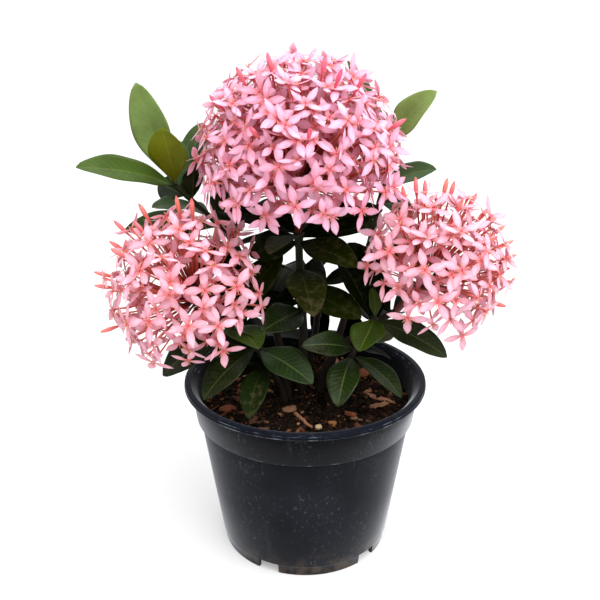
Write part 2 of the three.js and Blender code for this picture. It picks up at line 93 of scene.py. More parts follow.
class Finish:
    """A material, with short ways to wire its nodes. Its gloss is its specular level."""

    def __init__(self, name, roughness=0.5, gloss=0.5):
        self.material = bpy.data.materials.new(name)
        self.material.use_nodes = True
        self.shader = self.material.node_tree.nodes["Principled BSDF"]
        self.set("Roughness", roughness)
        self.set("Specular IOR Level", gloss)

    def set(self, socket, value):
        self.shader.inputs[socket].default_value = value

    def join(self, socket, value):
        self.material.node_tree.links.new(value, self.shader.inputs[socket])

    def node(self, kind, inputs, output=0, **settings):
        return add_node(self.material.node_tree, kind, inputs, output, **settings)

    def place(self):
        return self.node("ShaderNodeTexCoord", {}, "Object")

    def axis(self, vector, letter):
        return self.node("ShaderNodeSeparateXYZ", {0: vector}, letter)

    def reading(self, name, output="Color"):
        return self.node("ShaderNodeAttribute", {}, output, attribute_name=name)

    def calc(self, operation, *values):
        return self.node("ShaderNodeMath", dict(enumerate(values)), operation=operation)

    def times(self, first, second):
        return self.calc("MULTIPLY", first, second)

    def step(self, value, low, high):
        """0 below `low`, 1 above `high`, smooth between. The two may be the other way round."""
        inputs = {"Value": value, "From Min": low, "From Max": high}
        return self.node("ShaderNodeMapRange", inputs, interpolation_type="SMOOTHSTEP")

    def ramp(self, value, low, high, least, most):
        """Runs evenly from `least` to `most` as a value runs from `low` to `high`."""
        inputs = {"Value": value, "From Min": low, "From Max": high, "To Min": least, "To Max": most}
        return self.node("ShaderNodeMapRange", inputs)

    def noise(self, where, scale, detail=3):
        """Soft noise: `scale` waves to a unit of `where`, and `detail` finer layers."""
        return self.node("ShaderNodeTexNoise", {"Vector": where, "Scale": scale, "Detail": detail})

    def streaks(self, where, scales, detail):
        """Noise with a scale of its own along each axis."""
        drawn_out = self.node("ShaderNodeVectorMath", {0: where, 1: scales}, operation="MULTIPLY")
        return self.noise(drawn_out, 1, detail)

    def mix(self, share, first, second, blend="MIX"):
        """Mixes two colours, each a node's or a display shade of three levels."""
        first, second = [linear(*c) if isinstance(c, tuple) else c for c in (first, second)]
        inputs = {0: share, 6: first, 7: second}
        return self.node("ShaderNodeMix", inputs, 2, data_type="RGBA", blend_type=blend)

    def paint(self, colour):
        self.colour = colour
        self.join("Base Color", colour)

    def paint_as_tinted(self, light):
        """Paints a piece in the colours that its vertices carry, lit by a pattern."""
        self.paint(self.mix(1.0, self.reading("tint"), light, "MULTIPLY"))

    def over(self, mask, strength, shade):
        """Lays a shade over the paint where the mask is 1, by as much as `strength`."""
        self.paint(self.mix(self.times(mask, strength), self.colour, shade))

    def bump(self, height, distance, strength=1.0):
        inputs = {"Height": height, "Distance": distance, "Strength": strength}
        self.join("Normal", self.node("ShaderNodeBump", inputs))


camera_turn = (math.pi / 2 - CAMERA_DIP, 0, 0)
camera = add(bpy.ops.object.camera_add, location=CAMERA_PLACE, rotation=camera_turn)
camera.data.lens = CAMERA_LENS
camera.data.clip_start = CAMERA_NEAREST
bpy.context.scene.camera = camera
bpy.context.scene.view_settings.view_transform = "Standard"

# The backdrop looks plain white, but its light falls off from the ceiling to the walls.
room = bpy.data.worlds.new("white_room")
room.use_nodes = True
air = room.node_tree
way = add_node(air, "ShaderNodeTexCoord", {}, "Generated")
rise = add_node(air, "ShaderNodeSeparateXYZ", {0: way}, "Z")
light = add_node(air, "ShaderNodeMapRange", {
    "Value": rise, "From Min": WALL_END, "From Max": CEILING_START,
    "To Min": WALL_LIGHT, "To Max": CEILING_LIGHT})
lit = add_node(air, "ShaderNodeBackground", {"Color": WHITE, "Strength": light})
plain = add_node(air, "ShaderNodeBackground", {"Color": WHITE, "Strength": 1.0})
by_eye = add_node(air, "ShaderNodeLightPath", {}, "Is Camera Ray")
both = add_node(air, "ShaderNodeMixShader", {0: by_eye, 1: lit, 2: plain})
air.links.new(both, air.nodes["World Output"].inputs["Surface"])
bpy.context.scene.world = room

panel_turn = (Vector(PANEL_AIM) - Vector(PANEL_PLACE)).to_track_quat("-Z", "Y").to_euler()
panel = add(bpy.ops.object.light_add, type="AREA", location=PANEL_PLACE, rotation=panel_turn)
panel.data.size = PANEL_SIZE
panel.data.energy = PANEL_POWER

# The table glows a little, and more to the eye, so that it looks as white as the backdrop.
table = add(bpy.ops.mesh.primitive_plane_add, size=TABLE_SIZE)
table.name = "table"
white = Finish("white_table", TABLE_ROUGHNESS)
white.set("Base Color", TABLE_COLOUR)
white.set("Emission Color", WHITE)
by_eye = white.node("ShaderNodeLightPath", {}, "Is Camera Ray")
seen = white.times(by_eye, TABLE_SEEN)
white.join("Emission Strength", white.calc("ADD", seen, TABLE_GLOW))
table.data.materials.append(white.material)

# --------------------
# Pot: one injection-moulded cup of black polypropylene. It has a thick turned-over lip, a band
# below it that stands a little proud, a tapered wall and a foot ring cut by five water notches.
MM = 0.001
UP = Vector((0, 0, 1))
RIM_RADIUS = 75
POT_HEIGHT = 111
LIP_HEIGHT = 3.6
LIP_OVERHANG = 4
LIP_WIDTH = 4.1
GROOVE_DEPTH = 0.35
BASE_RADIUS = 52.6
FOOT_HEIGHT = 6.5
FOOT_STEP = 0.7
FOOT_WALL = 2.6
WALL = 1.6
BAND_DROP = 24
BAND_STEP = 2.1
NOTCH_WIDTH = 13.5
NOTCH_START = -25.4
NOTCH_COUNT = 5
DRAIN_RADIUS = 5
DRAIN_CIRCLE = 34
DRAIN_SIDES = 32
POT_SIDES = 160
# A ring this small closes to a point when doubled corners are merged.
POLE = 0.001

wall_top = RIM_RADIUS - LIP_OVERHANG
lip_base = POT_HEIGHT - LIP_HEIGHT
band_base = POT_HEIGHT - BAND_DROP
wall_foot = BASE_RADIUS + 2 * FOOT_STEP
wall_slope = (wall_top - BAND_STEP - wall_foot) / (lip_base - FOOT_HEIGHT)
floor_top = FOOT_HEIGHT + WALL

BLACK, FADED_BLACK = (18, 19, 24), (28, 30, 36)
# The first shade below is painted shade for the band under the lip; the second is a painted bluish highlight
# on the lip.
BAND_SHADE, LIP_HIGHLIGHT = (3, 4, 7), (24, 30, 44)
SMEAR_GREY, SCUFF_GREY = (72, 75, 82), (104, 106, 112)
DRIED_MUD = (88, 74, 60)
# Moulded edges with pale lines, partly rubbed pale and partly painted highlights: lowest and highest point,
# fade, strength and shade.
WORN_AND_HIGHLIT_EDGES = [
    (lip_base + 0.1, lip_base + 0.7, 0.3, 0.5, (136, 140, 148)),
    (lip_base + 2.1, lip_base + 2.5, 0.3, 0.5, (120, 128, 142)),
    (band_base, band_base + 0.6, 0.4, 0.35, (120, 122, 124)),
]


def outer_radius(z):
    return wall_foot + wall_slope * (z - FOOT_HEIGHT)


def rounded(radius, height, size, first, last, steps=3):
    """Points round a corner at (radius, height), from one angle about its centre to another in degrees."""
    angles = [math.radians(first + (last - first) * k / steps) for k in range(steps + 1)]
    radius -= math.copysign(size, math.cos((angles[0] + angles[-1]) / 2))
    height -= math.copysign(size, math.sin((angles[0] + angles[-1]) / 2))
    return [(radius + size * math.cos(a), height + size * math.sin(a)) for a in angles]


def start_edit():
    bpy.ops.object.mode_set(mode="EDIT")


def end_edit():
    bpy.ops.object.mode_set(mode="OBJECT")


def close_and_end_edit(merge_distance):
    """Merges doubled corners, turns all faces outwards and leaves edit mode."""
    bpy.ops.mesh.select_all(action="SELECT")
    bpy.ops.mesh.remove_doubles(threshold=merge_distance)
    bpy.ops.mesh.normals_make_consistent(inside=False)
    end_edit()


def raise_rings(name, profile, sides):
    """A round piece: one circle, extruded ring by ring through a profile of (radius, height)."""
    radius, height = profile[0]
    circle = {"vertices": sides, "radius": radius * MM, "location": (0, 0, height * MM)}
    piece = add(bpy.ops.mesh.primitive_circle_add, **circle)
    piece.name = name
    bpy.ops.object.transform_apply()
    start_edit()
    for (before, low), (after, high) in zip(profile, profile[1:]):
        rise = {"value": (0, 0, (high - low) * MM)}
        bpy.ops.mesh.extrude_region_move(TRANSFORM_OT_translate=rise)
        grow = after / before
        bpy.ops.transform.resize(value=(grow, grow, 1), center_override=(0, 0, high * MM))
    close_and_end_edit(0.00001)
    return piece


discard = bpy.data.objects.remove


def pick(*pieces):
    """Selects these pieces alone, with the first as the active one."""
    bpy.ops.object.select_all(action="DESELECT")
    for piece in pieces:
        piece.select_set(True)
    bpy.context.view_layer.objects.active = pieces[0]


def smooth(piece, angle):
    pick(piece)
    bpy.ops.object.shade_smooth_by_angle(angle=math.radians(angle))


def apply_modifiers(piece):
    pick(piece)
    for modifier in list(piece.modifiers):
        bpy.ops.object.modifier_apply(modifier=modifier.name)


def join_pieces(pieces, name):
    """Joins the objects of a list into its first one."""
    pick(*pieces)
    bpy.ops.object.join()
    pieces[0].name = name
    pieces[0].data.name = name
    return pieces[0]


pot_profile = [
    # The underside of the floor, and down and round the foot ring.
    (POLE, FOOT_HEIGHT),
    (BASE_RADIUS - FOOT_WALL, FOOT_HEIGHT),
    *rounded(BASE_RADIUS - FOOT_WALL, 0, 0.3, 180, 270, 2),
    *rounded(BASE_RADIUS, 0, 0.4, 270, 360, 2),
    (BASE_RADIUS + FOOT_STEP, FOOT_HEIGHT - 0.2),
    # Up the wall's outside, over the band.
    (wall_foot - 0.3, FOOT_HEIGHT + 0.2),
    (wall_foot, FOOT_HEIGHT + FOOT_STEP),
    (outer_radius(band_base / 2), band_base / 2),
    (outer_radius(band_base), band_base),
    (outer_radius(band_base) + BAND_STEP - 0.3, band_base + 0.1),
    (outer_radius(band_base) + BAND_STEP, band_base + 0.4),
    # Round the lip and its groove.
    (wall_top - 0.1, lip_base - 0.8),
    (wall_top + 0.3, lip_base),
    *rounded(RIM_RADIUS, lip_base, 0.6, 270, 360),
    (RIM_RADIUS, lip_base + 1.3),
    (RIM_RADIUS - GROOVE_DEPTH, lip_base + 1.5),
    (RIM_RADIUS - GROOVE_DEPTH, lip_base + 1.9),
    (RIM_RADIUS - 0.1, lip_base + 2.1),
    *rounded(RIM_RADIUS - 0.1, POT_HEIGHT, 1, 0, 90, 4),
    *rounded(RIM_RADIUS - LIP_WIDTH, POT_HEIGHT, 0.8, 90, 170),
    # Down the wall's inside, and over the floor.
    (outer_radius(lip_base) - WALL, lip_base - 1),
    (outer_radius(floor_top) - WALL, floor_top + 1),
    (outer_radius(floor_top) - WALL - 1, floor_top),
    (POLE, floor_top),
]
pot = raise_rings("nursery_pot", pot_profile, POT_SIDES)

cutters = []
for k in range(NOTCH_COUNT):
    turn = math.radians(NOTCH_START + 360 * k / NOTCH_COUNT)
    ahead = Vector((math.sin(turn), -math.cos(turn), 0))
    cutters.append(add(
        bpy.ops.mesh.primitive_cube_add, size=MM, location=ahead * BASE_RADIUS * MM,
        rotation=(0, 0, turn), scale=(NOTCH_WIDTH, 4 * FOOT_WALL, 2 * FOOT_HEIGHT)))
    drain_place = ahead * DRAIN_CIRCLE * MM + Vector((0, 0, (FOOT_HEIGHT + WALL / 2) * MM))
    cutters.append(add(
        bpy.ops.mesh.primitive_cylinder_add, vertices=DRAIN_SIDES, radius=DRAIN_RADIUS * MM,
        depth=4 * WALL * MM, location=drain_place))
cutter = join_pieces(cutters, "cutter")
cut = pot.modifiers.new("notches_and_drains", "BOOLEAN")
cut.operation = "DIFFERENCE"
cut.solver = "EXACT"
cut.object = cutter
apply_modifiers(pot)
discard(cutter)
smooth(pot, 40)

plastic = Finish("black_plastic", gloss=0.03)
plastic.set("Sheen Weight", 0.53)
plastic.set("Sheen Roughness", 0.3)
plastic.set("Sheen Tint", (0.9, 0.93, 1, 1))
where = plastic.place()
height = plastic.axis(where, "Z")
cloudy = plastic.noise(where, 28, 4)
plastic.paint(plastic.mix(plastic.step(cloudy, 0.35, 0.7), BLACK, FADED_BLACK))
# Painted shade: the band below the lip is painted nearly black, darker than the wall under it.
on_band = plastic.step(height, band_base * MM, (band_base + 0.5) * MM)
plastic.over(on_band, 0.9, BAND_SHADE)
smears = plastic.step(plastic.streaks(where, (160, 160, 22), 3), 0.55, 0.78)
plastic.over(smears, 0.12, SMEAR_GREY)
flecks = plastic.step(plastic.streaks(where, (600, 600, 420), 4), 0.57, 0.7)
patches = plastic.step(plastic.noise(where, 30, 4), 0.36, 0.62)
plastic.over(plastic.times(flecks, patches), 0.26, SCUFF_GREY)
# Painted highlight: a bluish sheen painted over the lip, where light glints on it.
on_lip = plastic.step(height, lip_base * MM, (lip_base + 1) * MM)
plastic.over(on_lip, 0.3, LIP_HIGHLIGHT)
# The pale edge lines are broken up: partly wear, partly painted highlight lines along the lip and band.
patchy_lines = plastic.step(plastic.noise(where, 150, 4), 0.5, 0.68)
for low, high, fade, strength, shade in WORN_AND_HIGHLIT_EDGES:
    above = plastic.step(height, (low - fade) * MM, low * MM)
    below = plastic.step(height, (high + fade) * MM, high * MM)
    worn_and_highlit = plastic.times(plastic.times(above, below), patchy_lines)
    plastic.over(worn_and_highlit, strength, shade)
# Dried mud splashed up from the ground: dense at the foot, and gone by about 20 mm.
splash = plastic.step(plastic.calc("ADD", height, plastic.times(cloudy, -0.022)), 0.008, -0.008)
spots = plastic.step(plastic.noise(where, 130, 6), 0.4, 0.66)
plastic.over(plastic.times(splash, spots), 0.6, DRIED_MUD)
plastic.join("Roughness", plastic.ramp(cloudy, 0.3, 0.7, 0.36, 0.55))
plastic.bump(plastic.noise(where, 900, 2), 0.00012, 0.5)
pot.data.materials.append(plastic.material)
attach(pot, "root")
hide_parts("pot")

# --------------------
# Soil: dark peat and composted bark that fills the pot to 16 mm below its rim. Its top is rough
# with crumbs and grit, and larger bark chips and twigs lie half pressed into it.
SOIL_LEVEL = 95
SOIL_MOUND = 3
SOIL_GAP = 0.3
SOIL_SIDES = 128
SOIL_RINGS = 34
SOIL_SEED = 12
LUMP_HEIGHT, RIPPLE_HEIGHT, ROUGH_HEIGHT = 0.9, 0.6, 1.3
DAMP_PEAT, PEAT, PALE_GRIT = (4, 3, 2), (30, 20, 13), (104, 72, 50)
CRUMB_COUNT = 1800
CRUMB_SIZES = [0.5, 0.7, 0.9, 1.2, 1.6]
# Every fifth crumb is a flake: longer and thinner than the rest.
FLAKE_EVERY = 5
FLAKE_FORM = (2, 1.1, 0.6)
# The crumbs' colours, and how common each is.
CRUMB_COLOURS = [
    ((26, 18, 12), 28), ((38, 26, 18), 24), ((14, 10, 7), 22), ((70, 44, 29), 12),
    ((104, 68, 44), 7), ((52, 33, 22), 12), ((146, 108, 76), 3), ((112, 62, 40), 5),
]
CHIP_THICKNESS = 2.4
CHIP_LUMPS, CHIP_SPLINTERS = 0.9, 0.25
# Chips and twigs: x, y, length, width, turn in degrees, and colour.
TAN, RED, BROWN, PALE = (154, 112, 84), (124, 70, 50), (84, 54, 38), (176, 150, 118)
CHIPS = [
    (-10, -22, 9, 8, 20, TAN), (45.5, -5, 24, 4, -35, TAN), (45, -16, 12, 4.5, 20, TAN),
    (-47, -20, 11, 6, 10, RED), (16, -36, 5, 4, 0, (146, 98, 58)), (7.5, -42, 4, 3.5, 40, PALE),
    (-40, -8, 12, 5, 150, BROWN), (-39, 13, 10, 4, 40, RED), (40, 31, 14, 8, 60, RED),
    (-20, 45, 12, 5, 30, BROWN), (22, 48, 10, 4, 100, TAN), (52, 20, 9, 4, 80, BROWN),
    (-52, 22, 11, 5, 70, TAN), (-25, -46, 8, 4, 15, BROWN), (31, -43, 7, 4, 120, BROWN),
    (0, 55, 9, 4, 170, BROWN), (-31, -34, 8, 3, 60, BROWN), (27, -27, 8, 3, 150, RED),
]
TWIGS = [
    (-1, -37, 19, 2.4, -59, (146, 104, 78)), (-6, 26, 18, 2.2, 78, (104, 62, 44)),
    (4, 12, 15, 2.0, 110, (100, 60, 42)), (-28, 26, 14, 1.6, 12, (96, 66, 46)),
    (33, -33, 12, 1.5, -20, (120, 90, 66)), (-36, -40, 10, 1.3, 40, (112, 82, 58)),
    (56, 6, 11, 1.4, 70, (110, 84, 62)), (20, 30, 12, 1.6, -50, (96, 60, 42)),
]
draws = random.Random(SOIL_SEED)
noise.seed_set(SOIL_SEED)
soil_edge = outer_radius(SOIL_LEVEL) - WALL - SOIL_GAP
soil_bottom = floor_top + SOIL_GAP


def soil_height(x, y):
    """The height of the soil's top without its crumbs."""
    radius = math.hypot(x, y)
    mound = SOIL_MOUND * (1 - (radius / wall_top) ** 2)
    lump = LUMP_HEIGHT * math.sin(x / 5.1 + 1) * math.cos(y / 6.3)
    ripple = RIPPLE_HEIGHT * math.sin(x / 9 - y / 4.2)
    fade = min(1, max(0, (0.99 * soil_edge - radius) / 6))
    return SOIL_LEVEL + (mound + lump + ripple) * fade


def tint(piece, colour):
    """Paints a piece: one colour all over, or one for each vertex."""
    mesh = piece.data
    paint = mesh.attributes.get("tint") or mesh.attributes.new("tint", "FLOAT_COLOR", "POINT")
    colours = np.broadcast_to(np.array(colour, np.float32), (len(mesh.vertices), 4))
    paint.data.foreach_set("color", np.ascontiguousarray(colours).ravel())


def corners(piece):
    """The places of a piece's vertices, as rows of x, y, z."""
    places = np.empty(3 * len(piece.data.vertices), np.float32)
    piece.data.vertices.foreach_get("co", places)
    return places.reshape(-1, 3).astype(float)


def move_corners(piece, places):
    piece.data.vertices.foreach_set("co", np.asarray(places, np.float32).ravel())
    piece.data.update()


def copy_of(master, places=None):
    """A copy of a piece with a mesh of its own, and with its vertices at new places if given."""
    copy = master.copy()
    copy.data = master.data.copy()
    bpy.context.scene.collection.objects.link(copy)
    if places is not None:
        move_corners(copy, places)
    return copy


def lay_on_soil(piece, places, turn, x, y, lift, colour):
    """Gives a piece its form and colour, turned and laid on the soil."""
    turned = places @ np.array(turn).T
    move_corners(piece, (turned + [x, y, soil_height(x, y) + lift]) * MM)
    tint(piece, linear(*colour))


soil_profile = [(POLE, soil_bottom), (outer_radius(soil_bottom) - WALL - SOIL_GAP, soil_bottom)]
soil_profile += [(soil_edge * (1 - k / SOIL_RINGS) + POLE, SOIL_LEVEL) for k in range(SOIL_RINGS + 1)]
soil = raise_rings("soil_ball", soil_profile, SOIL_SIDES)
for corner in soil.data.vertices:
    x, y, z = corner.co / MM
    if z > SOIL_LEVEL - 1:
        rough = ROUGH_HEIGHT * noise.fractal(Vector((x, y, 0)) / 3.1, 0.8, 2.1, 4)
        edge = min(1, max(0, (soil_edge - math.hypot(x, y)) / 2))
        corner.co.z = (soil_height(x, y) + rough * edge) * MM
smooth(soil, 80)

peat = Finish("potting_mix", 0.95, 0.05)
where = peat.place()
damp = peat.step(peat.noise(where, 260, 5), 0.35, 0.6)
peat.paint(peat.mix(damp, DAMP_PEAT, PEAT))
grit = peat.step(peat.noise(where, 620, 3), 0.6, 0.68)
peat.over(grit, 0.6, PALE_GRIT)
peat.bump(peat.noise(where, 700, 6), 0.0016)
soil.data.materials.append(peat.material)

bark = Finish("bark_and_grit", 0.85, 0.08)
fibres = bark.streaks(bark.place(), (900, 300, 900), 5)
bark.paint_as_tinted(bark.ramp(fibres, 0, 1, 0.35, 1.45))
bark.bump(fibres, 0.0006)

crumb = add(bpy.ops.mesh.primitive_ico_sphere_add, subdivisions=1, radius=1)
crumb_places = corners(crumb)
crumb_colours, crumb_shares = zip(*CRUMB_COLOURS)
crumbs = []
for k in range(CRUMB_COUNT):
    reach = soil_edge * math.sqrt(draws.random()) * 0.985
    bearing = draws.uniform(0, math.tau)
    size = draws.choice(CRUMB_SIZES)
    form = Vector([size * draws.uniform(*span) for span in ((0.8, 1.9), (0.6, 1.1), (0.4, 0.9))])
    if k % FLAKE_EVERY == 0:
        form = Vector([side * share for side, share in zip(form, FLAKE_FORM)])
    pole = Vector([draws.gauss(0, 0.4), draws.gauss(0, 0.4), 1])
    spin = Quaternion(pole, draws.uniform(0, math.tau)).to_matrix()
    ragged = 1 + 0.25 * np.array([[draws.uniform(-1, 1)] for _ in crumb_places])
    x, y = reach * math.cos(bearing), reach * math.sin(bearing)
    colour = draws.choices(crumb_colours, crumb_shares)[0]
    crumbs.append(copy_of(crumb))
    lay_on_soil(crumbs[-1], crumb_places * ragged * np.array(form), spin, x, y, 0.25 * size, colour)
discard(crumb)
crumbs = join_pieces(crumbs, "soil_crumbs")
crumbs.data.materials.append(bark.material)

chip = add(bpy.ops.mesh.primitive_cube_add, size=1)
start_edit()
bpy.ops.mesh.subdivide(number_cuts=4)
end_edit()
along, across, up = corners(chip).T
taper = 1 - 0.75 * np.abs(2 * along) ** 2.5
crown = 1 - 0.5 * np.abs(2 * across) ** 2
chips = []
for number, (x, y, length, width, turn, colour) in enumerate(CHIPS):
    shaped = np.stack([along * length, across * width * taper, up * CHIP_THICKNESS * crown], 1)
    for place in shaped:
        lump = noise.noise_vector(Vector(place) / 2.6 + Vector((number * 7, 0, 0)))
        place += np.array(lump) * CHIP_LUMPS
        splinter = noise.noise_vector(Vector(place) / 0.9 + Vector((0, number * 7, 0)))
        place += np.array(splinter) * CHIP_SPLINTERS
    turn = Matrix.Rotation(math.radians(turn), 3, "Z")
    tilt = Matrix.Rotation(draws.uniform(-0.3, 0.3), 3, "X")
    chips.append(copy_of(chip))
    lay_on_soil(chips[-1], shaped, turn @ tilt, x, y, 0.9, colour)
discard(chip)

for x, y, length, width, turn, colour in TWIGS:
    rod = {"vertices": 8, "radius": width / 2, "depth": length, "rotation": (0, math.pi / 2, 0)}
    twig = add(bpy.ops.mesh.primitive_cylinder_add, **rod)
    bpy.ops.object.transform_apply()
    start_edit()
    bpy.ops.mesh.subdivide(number_cuts=5)
    end_edit()
    places = corners(twig)
    places[:, 1:] *= 0.85 - 0.4 * places[:, :1] / length
    bow = draws.uniform(-1.6, 1.6)
    places[:, 1] += bow * np.cos(math.pi * places[:, 0] / length) + 0.3 * np.sin(places[:, 0] * 1.7)
    places[:, 2] += 0.3 * np.cos(places[:, 0] * 1.3)
    turn = Matrix.Rotation(math.radians(turn), 3, "Z")
    lay_on_soil(twig, places, turn, x, y, 0.4 * width, colour)
    chips.append(twig)
chips = join_pieces(chips, "bark_chips")
chips.data.materials.append(bark.material)
smooth(chips, 50)
for piece in (soil, crumbs, chips):
    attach(piece, "root")
    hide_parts("soil")

# --------------------
# Leafy stems: woody green-brown stems with swollen joints, and leathery leaves on short stalks.
# The upper shoots hold fresh bright leaves, and the lower leaves are old, dark and dusty.
# Leaves deep inside the plant take the dark tone: painted near black, as painted shade.
ROUTE_START = 101
STEM_DEPTH = 26
STEM_STEPS = 40
JOINT_SWELL, JOINT_LENGTH = 0.28, 0.016
LEAF_ARCH = 0.3
LEAF_FULLNESS = 1.1
LEAF_FOLD = 0.1
LEAF_SWAY = 0.035
LEAF_DROOP = 0.03
LEAF_THICKNESS = 0.5
LEAF_RIB = 0.5
LEAF_COLUMNS = 10
LEAF_ROWS = 22
STALK_SHARE = 0.09
STALK_RADIUS = 1.05
VEIN_COUNT, VEIN_SLANT, VEIN_WANDER = 13, -2.1, 0.5
AGE_BROWN = (98, 88, 64)
OLD_WOOD, OLD_WOOD_PALE = (18, 15, 11), (46, 37, 28)
GREEN_WOOD, GREEN_WOOD_PALE = (18, 24, 9), (42, 50, 20)
# Leaf colours, and how much of the brown marks of age each carries.
LEAF_TONES = {
    # fresh: light green, made paler and greyer in its colour as a painted sheen.
    "fresh": ((102, 123, 64), 0.0),
    "leafy": ((57, 78, 22), 0.1),
    "green": ((40, 60, 16), 0.1),
    "lime": ((38, 55, 4), 0.0),
    "yellow": ((89, 99, 0), 0.1),
    "deep": ((14, 29, 1), 0.2),
    "gloss": ((21, 37, 11), 0.1),
    # dark: leaves deep inside the plant, painted near black as painted shade for the shade there.
    "dark": ((4, 11, 0), 0.2),
    "olive": ((19, 26, 0), 0.3),
    "brown": ((25, 28, 4), 0.5),
    "dull": ((18, 28, 6), 0.5),
    "grey": ((54, 76, 45), 0.2),
    "pale": ((84, 94, 62), 0.2),
}
DULL_TONES = ("dark", "olive", "brown", "dull")
# A stem's route, its radius at the foot and at the top, and its leaves:
# height of the base on the stem, tip x, y and z, width, turn about its length in degrees, and tone.
# An eighth value is a leaf's own arch. A ninth is its fullness: above 1, it is widest past its middle.
STEMS = {
    "stem_centre": ([(-2, 4, ROUTE_START), (-1, 4, 135), (-3, 4, 170), (-4, 3, 203)], (3.0, 2.2), [
        (201, -19.5, -42, 204, 20, 10, "brown", 0.2), (197, 28.5, -28, 192.5, 22, 20, "olive", 0.2),
        (196, -33, 0, 189.5, 19, -45, "dull"), (201, -42, 14, 191.5, 15, -10, "dark", 0.15),
        (201, -52, 12, 214, 20, -25, "dark"), (201, -31, 46, 210, 20, -30, "dark"),
        (201, 46, 12, 214, 20, 45, "dark"), (199, 42.5, 20, 204.5, 18, 45, "olive"),
        (200, 14, 50, 208, 20, 0, "dark"), (180, 4.5, -45, 169.5, 23, 0, "brown"),
        (176, -14, 44, 168, 18, 0, "dark"), (168, 32, -26, 160, 20, 30, "olive", 0.1),
        (180, 14, 24, 167, 19, 60, "dark"), (153, -25, -30.5, 154, 21, -30, "deep"),
        (158, -40, -2, 155, 18, -40, "dark")]),
    "stem_left": ([(-11, -3, ROUTE_START), (-18, -5, 120), (-33, -8, 137), (-47, -11, 149)], (2.9, 2.1), [
        (148, -14, 4, 189, 24, 25, "olive", 0.1), (147, -86, -18, 119.5, 22, -35, "deep", 0.35),
        (147, -26.5, -45, 150, 23, 0, "lime"), (147, -24, -37, 150.5, 11, 0, "lime"),
        (140, -60, 34, 148, 20, 0, "dark"), (130, -66, 26, 122, 18, -50, "dark"),
        (122, -62, -6, 114, 17, -30, "dark"), (143, -24, 22, 133, 16, 50, "dark")]),
    "stem_right": ([(9, 1, ROUTE_START), (16, 0, 122), (34, -5, 143), (54, -10, 158)], (2.9, 2.1), [
        (156, 25.5, 10, 194, 27, -60, "dark"), (156, 88, 32, 158, 18, 0, "dark"),
        (150, 41, 24, 180, 20, 0, "dark"), (146, 64, 38, 138, 18, 0, "dark"),
        (130, 54, 6, 119, 16, 0, "dark")]),
    "shoot_back_left": (
        [(-12, 9, ROUTE_START), (-20, 15, 140), (-46, 24, 192), (-78.5, 16, 229)], (2.8, 1.2), [
        (228, -95.5, 10, 287.5, 21.5, -110, "fresh", 0.02, 1.25),
        (228, -124, -25, 247, 23.5, -32, "leafy", 0.2, 1.0),
        (227, -78.5, -12, 266, 21.5, 180, "yellow", 0.3, 1.9), (226, -75, 26, 252.5, 15, 0, "grey"),
        (226, -69.5, 34, 252.5, 17, 0, "green"), (222, -64, 52, 259.5, 18, 0, "green"),
        (221, -89, 30, 227, 17, -50, "deep", 0.1), (215, -89.5, 4, 218.5, 15, -20, "grey", -0.05),
        (218, -65.5, 12, 240, 13, 0, "deep"), (200, -113, 34, 196, 18, -50, "green"),
        (190, -48.5, 52, 228.5, 25, 0, "deep"), (206, -86, 52, 206, 17, 0, "deep"),
        (186, -73, 34, 174, 20, -50, "dark"), (170, -66, 46, 176, 20, -50, "dark"),
        (166, -63, 24, 153, 20, -50, "dark"), (150, -12, 58, 164, 20, 0, "dark")]),
    "shoot_back_right": ([(13, 9, ROUTE_START), (24, 16, 140), (42, 28, 196), (52, 33, 252)], (2.8, 1.2), [
        (250, 75, 22, 282, 20.5, 60, "fresh", 0.2, 0.95), (248, 27, 57, 296.5, 18, 10, "green", 0),
        (224, 75.5, 8, 239.5, 17, 45, "grey", 0.3, 1.0), (226, 44, 64, 236, 18, 0, "green"),
        (214, 68, 34, 207, 18, 40, "deep"), (196, 18, 56, 206, 18, -20, "dark"),
        (180, 76, 46, 178, 18, 40, "dark"), (150, 44, 42, 134.5, 18, 50, "dark"),
        (152, 39, 42, 110, 20, 180, "dark", 0.05)]),
    "shoot_front_left": (
        [(-13, -12, ROUTE_START), (-17, -14, 114), (-24, -16, 128), (-30, -17, 139)], (2.3, 1.5), [
        (137, -59, -42, 116, 22, -10, "deep"), (136, 4, -45, 128, 22, 20, "gloss"),
        (126, -32, -55, 110.5, 17, 0, "dull"), (126, -57, -18, 124, 16, 0, "dark")]),
    "shoot_front_right": (
        [(15, -11, ROUTE_START), (20, -17, 114), (28, -21, 135), (41, -22, 159)], (2.4, 1.4), [
        (158, 30, -46, 148, 20, 0, "lime"), (157, 80.5, -40, 142.5, 19, 25, "gloss", 0.34),
        (158, 38, -17, 175, 8, 0, "lime"), (156, 20, 2, 188, 18, 0, "dark"),
        (145, 53, -14, 145, 12, 30, "pale", 0.1), (138, -2, -36, 147, 15, -50, "deep"),
        (134, 18, -55, 118.5, 19, 0, "deep"), (134, 55, -42, 117, 18, 0, "deep")]),
    "shoot_back": ([(0, 19, ROUTE_START), (6, 24, 125), (9, 32, 150), (9, 36, 168)], (2.6, 1.5), [
        (167, 15, 66, 184, 18, 0, "dark"), (160, -20, 62, 158, 18, -30, "dark"),
        (146, 32, 56, 134, 18, 30, "dark"), (152, -32, 60, 150, 20, -40, "dark"),
        (140, 8, 71, 132, 18, 0, "dark"), (122, -36, 56, 112, 18, 0, "dark"),
        (118, 24, 62, 108, 18, 0, "dark"), (158, 44, 36, 168, 17, 20, "dark", 0.1),
        (158, 10, 46, 111, 13, 180, "dark", 0.05)]),
}


